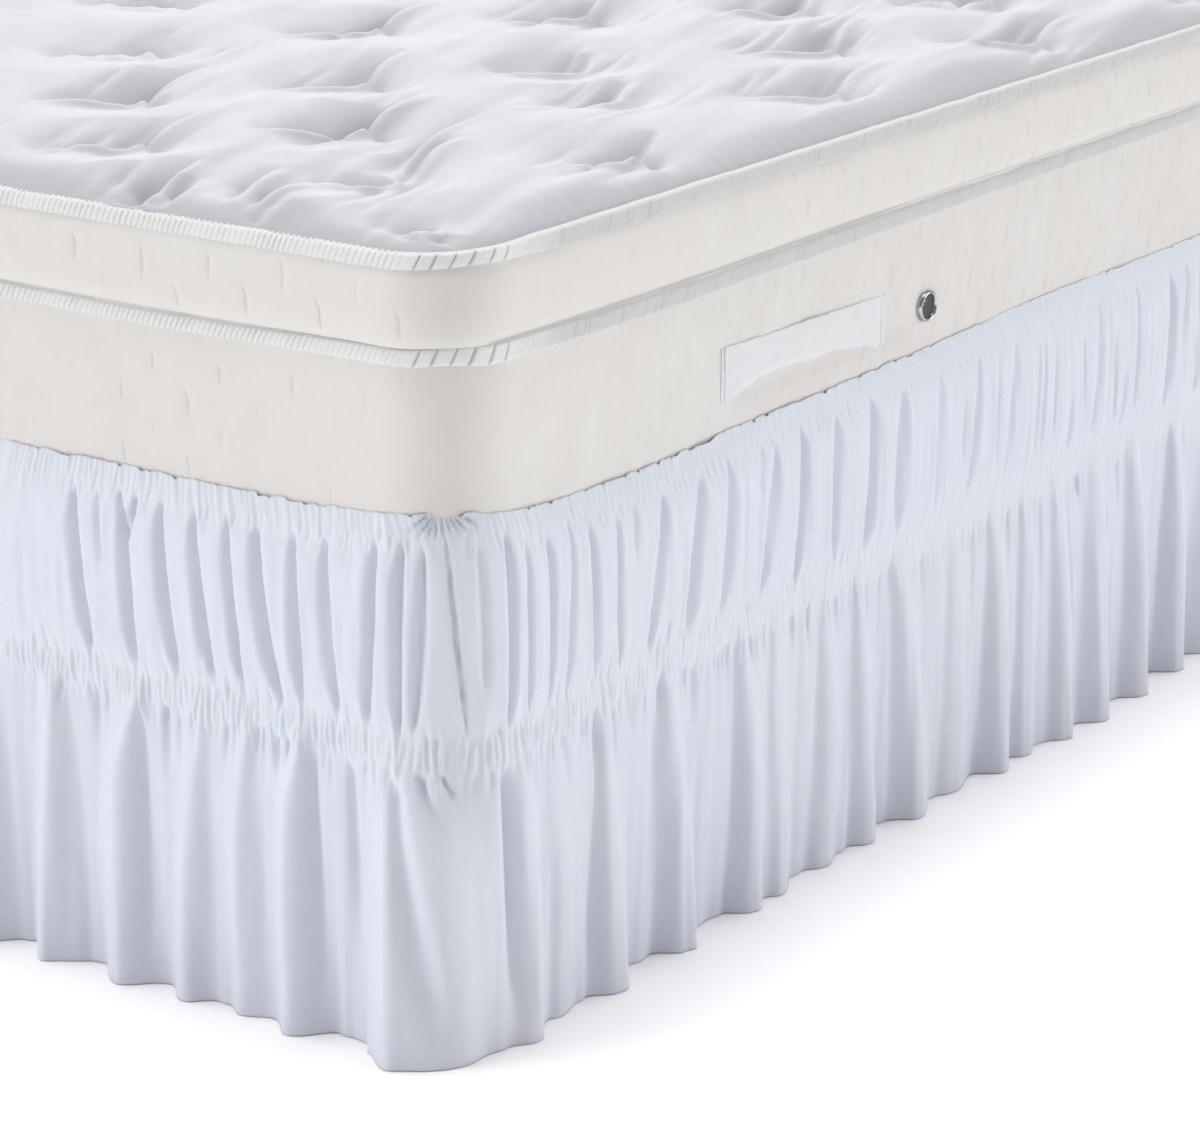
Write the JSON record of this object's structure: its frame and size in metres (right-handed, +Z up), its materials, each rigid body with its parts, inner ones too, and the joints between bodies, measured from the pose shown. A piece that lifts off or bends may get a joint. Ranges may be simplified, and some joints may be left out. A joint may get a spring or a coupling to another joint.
{
  "type": "bed skirt on a double mattress and box base",
  "caption": "Wrap-around elastic bed skirt with two shirred rows and a flared hem, gripping the lower edge of a pillow-top mattress on a plain box base.",
  "frame": {"origin": "on the floor under the middle of the bed", "axes": "+Z up, +Y along the bed from its foot end to its head end, +X towards the long side that carries the handle"},
  "size_m": [1.457, 1.9981, 0.693],
  "materials": {
    "skirt_cloth": "soft matt brushed polyester",
    "border_cloth": "matt quilted knit",
    "panel_cloth": "soft satin knit",
    "tape": "satin woven tape",
    "vent_metal": "satin",
    "base_cloth": "matt",
    "foot_plastic": "matt"
  },
  "bodies": {
    "root": {"bed_skirt": "skirt_cloth", "mattress_body": "border_cloth", "pillow_top": "panel_cloth", "tape_top": "tape", "tape_mid": "tape", "handle": "tape", "vent": "vent_metal", "bed_base": "base_cloth", "foot_1": "foot_plastic", "foot_2": "foot_plastic", "foot_3": "foot_plastic", "foot_4": "foot_plastic", "foot_5": "foot_plastic", "foot_6": "foot_plastic"}
  },
  "joints": []
}
